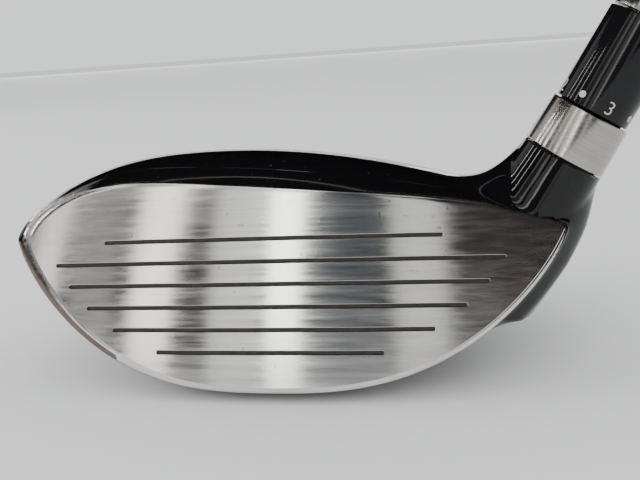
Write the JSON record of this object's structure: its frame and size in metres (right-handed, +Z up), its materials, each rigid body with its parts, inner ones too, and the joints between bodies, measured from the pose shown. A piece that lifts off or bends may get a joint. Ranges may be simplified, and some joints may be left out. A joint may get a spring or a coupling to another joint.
{
  "type": "fairway wood",
  "caption": "Golf fairway wood at address: brushed steel grooved face, gloss black head, adjustable hosel sleeve, graphite shaft and rubber grip.",
  "frame": {"origin": "middle of the flat patch where the sole rests on the floor", "axes": "+Z up, -Y the way the face looks (the target), +X from toe to heel, the side the shaft leans to"},
  "size_m": [0.6745, 0.081, 0.9272],
  "materials": {
    "head_paint": "deep gloss black paint",
    "face_steel": "brushed heel to toe, polished at the rim",
    "crown_gloss": "clear-coated black composite",
    "glue": "set hot-melt glue",
    "sole_steel": "turned, satin",
    "screw_steel": "machined",
    "nylon": "natural nylon",
    "satin_aluminium": "turned, satin anodised",
    "black_aluminium": "gloss black anodised with painted index marks",
    "ferrule_black": "polished black",
    "shaft_paint": "clear-coated graphite",
    "tape": "crepe tape",
    "grip_rubber": "matt rubber with a moulded tread"
  },
  "bodies": {
    "head": {"body_shell": "head_paint", "face_plate": "face_steel", "crown_plate": "crown_gloss", "tuning_glue": "glue", "weight_port": "sole_steel", "screw_washer": "screw_steel", "screw_retainer": "nylon"},
    "hosel_bolt": {"hosel_screw": "screw_steel"},
    "collar": {"adapter_collar": "satin_aluminium"},
    "shaft_unit": {"adapter_sleeve": "black_aluminium", "collar_clip": "screw_steel", "trim_ring": "satin_aluminium", "ferrule": "ferrule_black", "shaft": "shaft_paint", "tip_plug": "nylon", "grip_tape": "tape", "grip": "grip_rubber", "grip_cap": "grip_rubber"},
    "sole_weight": {"weight_puck": "sole_steel"},
    "weight_bolt": {"weight_screw": "screw_steel"}
  },
  "joints": [
    {"name": "hosel_screw_turn", "type": "hinge", "parent": "head", "child": "hosel_bolt", "pos_m": [0.0267, 0, 0], "axis": [-0.5225, 0, -0.8526], "continuous": true},
    {"name": "collar_lift", "type": "slide", "parent": "head", "child": "collar", "axis": [0.5225, 0, 0.8526], "range_m": [0, 0.03]},
    {"name": "sleeve_index", "type": "hinge", "parent": "collar", "child": "shaft_unit", "pos_m": [0.0267, 0, 0], "axis": [0.5225, 0, 0.8526], "continuous": true},
    {"name": "weight_out", "type": "slide", "parent": "head", "child": "sole_weight", "axis": [0, 0.1998, -0.9798], "range_m": [0, 0.006]},
    {"name": "weight_screw_turn", "type": "hinge", "parent": "sole_weight", "child": "weight_bolt", "pos_m": [-0.0006, 0.039, 0.00334], "axis": [0, 0.1998, -0.9798], "range_deg": [0, 2700]}
  ],
  "couplings": [
    {"joint": "weight_screw_turn", "follows": "weight_out", "rad_per_m": 7854}
  ]
}
